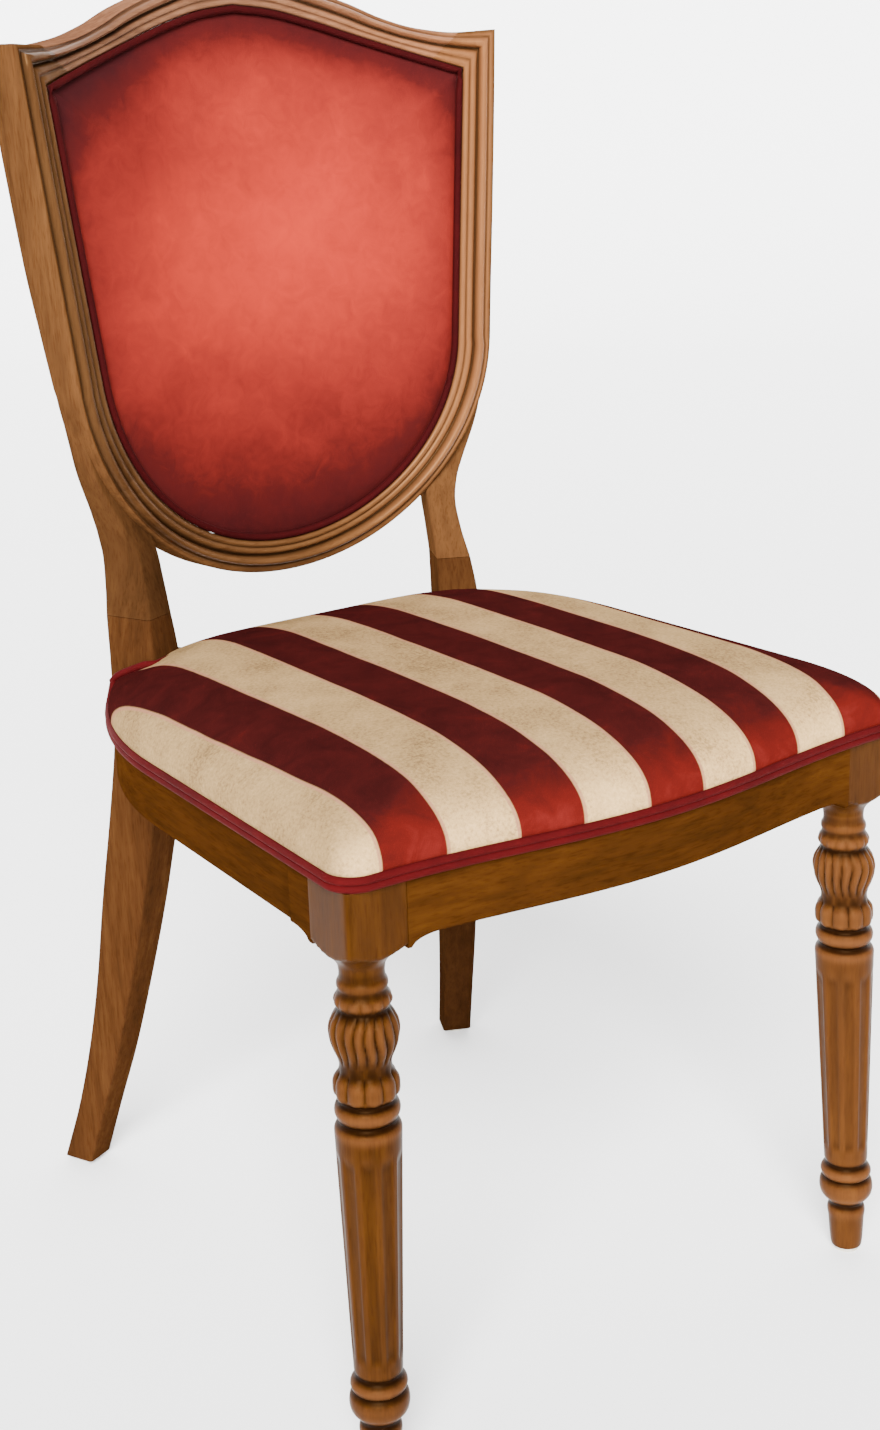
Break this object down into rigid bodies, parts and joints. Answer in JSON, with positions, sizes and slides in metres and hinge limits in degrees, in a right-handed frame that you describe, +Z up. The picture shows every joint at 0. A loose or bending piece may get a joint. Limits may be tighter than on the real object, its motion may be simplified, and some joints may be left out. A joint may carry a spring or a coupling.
{
  "type": "dining chair",
  "caption": "Wooden shield-back dining chair with fluted turned front legs, sabre rear legs, a red velvet back panel and a domed striped seat.",
  "frame": {"origin": "middle of the underside of the chair's box, on the floor", "axes": "+Z up, the chair faces -Y, +X towards the sitter's left"},
  "size_m": [0.514, 0.5921, 1.0215],
  "materials": {
    "lacquered_wood": "satin lacquer",
    "plain_wood": "bare",
    "plywood": "bare",
    "foam": "matte",
    "striped_cloth": "woven stripes",
    "red_velvet": "velvet",
    "red_welt": "corded",
    "outside_cloth": "velvet",
    "dust_cloth": "matte",
    "nylon": "matte",
    "steel": "zinc plated"
  },
  "bodies": {
    "root": {"front_leg_right": "lacquered_wood", "front_leg_left": "lacquered_wood", "rear_leg_right": "lacquered_wood", "rear_leg_left": "lacquered_wood", "back_stile_right": "lacquered_wood", "back_stile_left": "lacquered_wood", "side_rail_right": "lacquered_wood", "side_rail_left": "lacquered_wood", "front_rail": "lacquered_wood", "rear_rail": "lacquered_wood", "crest_rail": "lacquered_wood", "shield_rail": "lacquered_wood", "front_corner_block_right": "plain_wood", "front_corner_block_left": "plain_wood", "rear_corner_block_right": "plain_wood", "rear_corner_block_left": "plain_wood", "front_rail_dowels": "plain_wood", "side_rail_front_dowels": "plain_wood", "side_rail_rear_dowels": "plain_wood", "rear_rail_dowels": "plain_wood", "stile_dowels": "plain_wood", "crest_dowels": "plain_wood", "shield_rail_dowels": "plain_wood", "seat_board": "plywood", "back_panel": "plywood", "seat_foam": "foam", "back_foam": "foam", "seat_cover": "striped_cloth", "seat_welt": "red_welt", "back_piping": "red_welt", "back_cover": "red_velvet", "outside_back": "outside_cloth", "dust_cover": "dust_cloth", "front_glide_right": "nylon", "front_glide_left": "nylon", "rear_glide_right": "nylon", "rear_glide_left": "nylon", "seat_screws": "steel", "leg_screws": "steel"}
  },
  "joints": []
}
